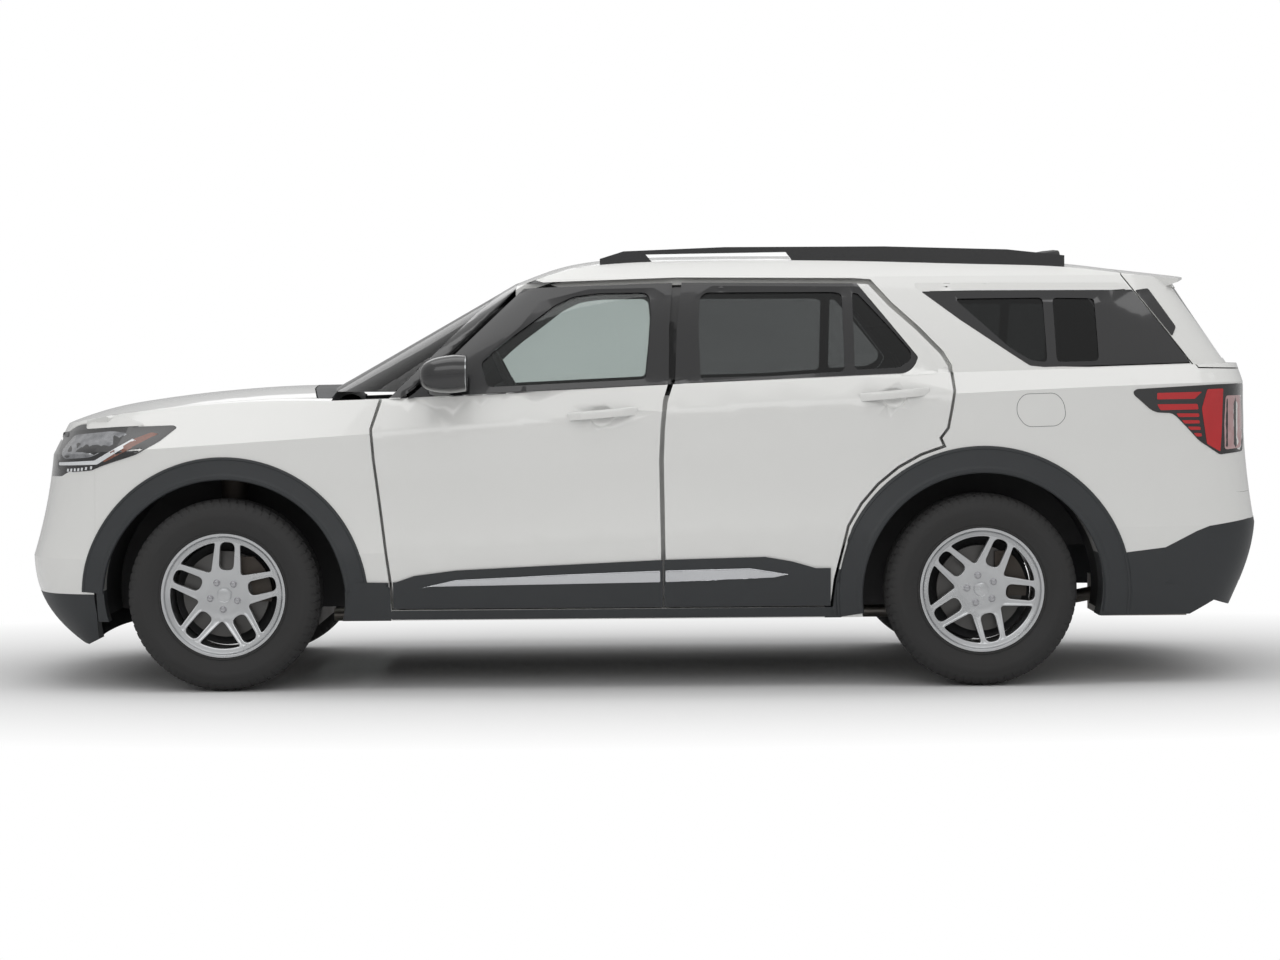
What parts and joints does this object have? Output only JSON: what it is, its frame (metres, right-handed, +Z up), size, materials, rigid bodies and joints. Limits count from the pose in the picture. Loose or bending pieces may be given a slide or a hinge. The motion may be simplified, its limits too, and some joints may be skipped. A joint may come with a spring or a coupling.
{
  "type": "three-row mid-size suv",
  "caption": "White mid-size three-row SUV with opening doors, hood and tailgate, steered front wheels, dark lower cladding and roof rails.",
  "frame": {"origin": "on the ground, at the middle of the length and the width", "axes": "+X forward, +Y to the left side of the car, +Z up"},
  "size_m": [5.05, 2.268, 1.766],
  "materials": {
    "body_paint": "gloss white paint",
    "dark_trim": "grained black-grey plastic",
    "gloss_black": "gloss black",
    "glass": "tinted glass",
    "head_lamp": "clear lens over chrome",
    "tail_lamp": "red lens",
    "wheel_alloy": "silver painted alloy",
    "tyre_rubber": "black rubber",
    "chassis_steel": "dark coated steel",
    "underbody_coat": "dark underbody coating",
    "engine_metal": "cast alloy",
    "exhaust_steel": "weathered stainless steel",
    "seat_fabric": "dark woven fabric",
    "cabin_plastic": "soft-touch dark plastic"
  },
  "bodies": {
    "body": {"body_cladding": "dark_trim", "body_side_left": "body_paint", "body_side_right": "body_paint", "cowl_panel": "dark_trim", "dashboard": "cabin_plastic", "engine": "engine_metal", "exhaust": "exhaust_steel", "front_bumper_cover": "body_paint", "front_fenders": "body_paint", "front_lower_fascia": "dark_trim", "front_seats": "seat_fabric", "front_suspension": "chassis_steel", "grille": "gloss_black", "headlamps": "head_lamp", "middle_seats": "seat_fabric", "quarter_glasses": "glass", "rear_bumper_cover": "body_paint", "rear_lower_fascia": "dark_trim", "rear_seats": "seat_fabric", "rear_suspension": "chassis_steel", "roof_panel": "body_paint", "roof_rails": "dark_trim", "tail_lamps": "tail_lamp", "underbody": "underbody_coat", "windscreen": "glass"},
    "door_front_left": {"door_front_left_cladding": "dark_trim", "door_front_left_glass": "glass", "door_front_left_panel": "body_paint", "mirror_left": "gloss_black"},
    "door_front_right": {"door_front_right_cladding": "dark_trim", "door_front_right_glass": "glass", "door_front_right_panel": "body_paint", "mirror_right": "gloss_black"},
    "door_rear_left": {"door_rear_left_cladding": "dark_trim", "door_rear_left_glass": "glass", "door_rear_left_panel": "body_paint"},
    "door_rear_right": {"door_rear_right_cladding": "dark_trim", "door_rear_right_glass": "glass", "door_rear_right_panel": "body_paint"},
    "hood": {"hood_panel": "body_paint"},
    "knuckle_left": {"knuckle_left": "chassis_steel"},
    "knuckle_right": {"knuckle_right": "chassis_steel"},
    "steering_wheel": {"steering_wheel": "cabin_plastic"},
    "tailgate": {"tailgate_glass": "glass", "tailgate_panel": "body_paint"},
    "wheel_front_left": {"tyre_front_left": "tyre_rubber", "wheel_front_left": "wheel_alloy"},
    "wheel_front_right": {"tyre_front_right": "tyre_rubber", "wheel_front_right": "wheel_alloy"},
    "wheel_rear_left": {"tyre_rear_left": "tyre_rubber", "wheel_rear_left": "wheel_alloy"},
    "wheel_rear_right": {"tyre_rear_right": "tyre_rubber", "wheel_rear_right": "wheel_alloy"}
  },
  "joints": [
    {"name": "hood_hinge", "type": "hinge", "parent": "body", "child": "hood", "pos_m": [1.297, 0, 1.218], "axis": [0, -1, 0], "range_deg": [0, 50]},
    {"name": "tailgate_hinge", "type": "hinge", "parent": "body", "child": "tailgate", "pos_m": [-1.963, 0, 1.688], "axis": [0, 1, 0], "range_deg": [0, 80]},
    {"name": "door_front_left_hinge", "type": "hinge", "parent": "body", "child": "door_front_left", "pos_m": [1.0755, 1.006, 0.6], "axis": [0, 0, -1], "range_deg": [0, 65]},
    {"name": "door_rear_left_hinge", "type": "hinge", "parent": "body", "child": "door_rear_left", "pos_m": [-0.0835, 1.006, 0.6], "axis": [0, 0, -1], "range_deg": [0, 68]},
    {"name": "door_front_right_hinge", "type": "hinge", "parent": "body", "child": "door_front_right", "pos_m": [1.0755, -1.006, 0.6], "axis": [0, 0, 1], "range_deg": [0, 65]},
    {"name": "door_rear_right_hinge", "type": "hinge", "parent": "body", "child": "door_rear_right", "pos_m": [-0.0835, -1.006, 0.6], "axis": [0, 0, 1], "range_deg": [0, 68]},
    {"name": "steer_left", "type": "hinge", "parent": "body", "child": "knuckle_left", "pos_m": [1.665, 0.7815, 0.384], "axis": [0, 0, 1], "range_deg": [-34, 34]},
    {"name": "steer_right", "type": "hinge", "parent": "body", "child": "knuckle_right", "pos_m": [1.665, -0.7815, 0.384], "axis": [0, 0, 1], "range_deg": [-34, 34]},
    {"name": "wheel_front_left_spin", "type": "hinge", "parent": "knuckle_left", "child": "wheel_front_left", "pos_m": [1.665, 0.8575, 0.384], "axis": [0, 1, 0], "continuous": true},
    {"name": "wheel_rear_left_spin", "type": "hinge", "parent": "body", "child": "wheel_rear_left", "pos_m": [-1.36, 0.8575, 0.384], "axis": [0, 1, 0], "continuous": true},
    {"name": "wheel_front_right_spin", "type": "hinge", "parent": "knuckle_right", "child": "wheel_front_right", "pos_m": [1.665, -0.8575, 0.384], "axis": [0, 1, 0], "continuous": true},
    {"name": "wheel_rear_right_spin", "type": "hinge", "parent": "body", "child": "wheel_rear_right", "pos_m": [-1.36, -0.8575, 0.384], "axis": [0, 1, 0], "continuous": true},
    {"name": "steering_wheel_turn", "type": "hinge", "parent": "body", "child": "steering_wheel", "pos_m": [0.52, 0.4, 1.18], "axis": [-0.9023, 0, 0.4311], "range_deg": [-545, 545]}
  ],
  "couplings": [
    {"joint": "steer_right", "follows": "steer_left", "ratio": 1},
    {"joint": "steering_wheel_turn", "follows": "steer_left", "ratio": 16}
  ]
}
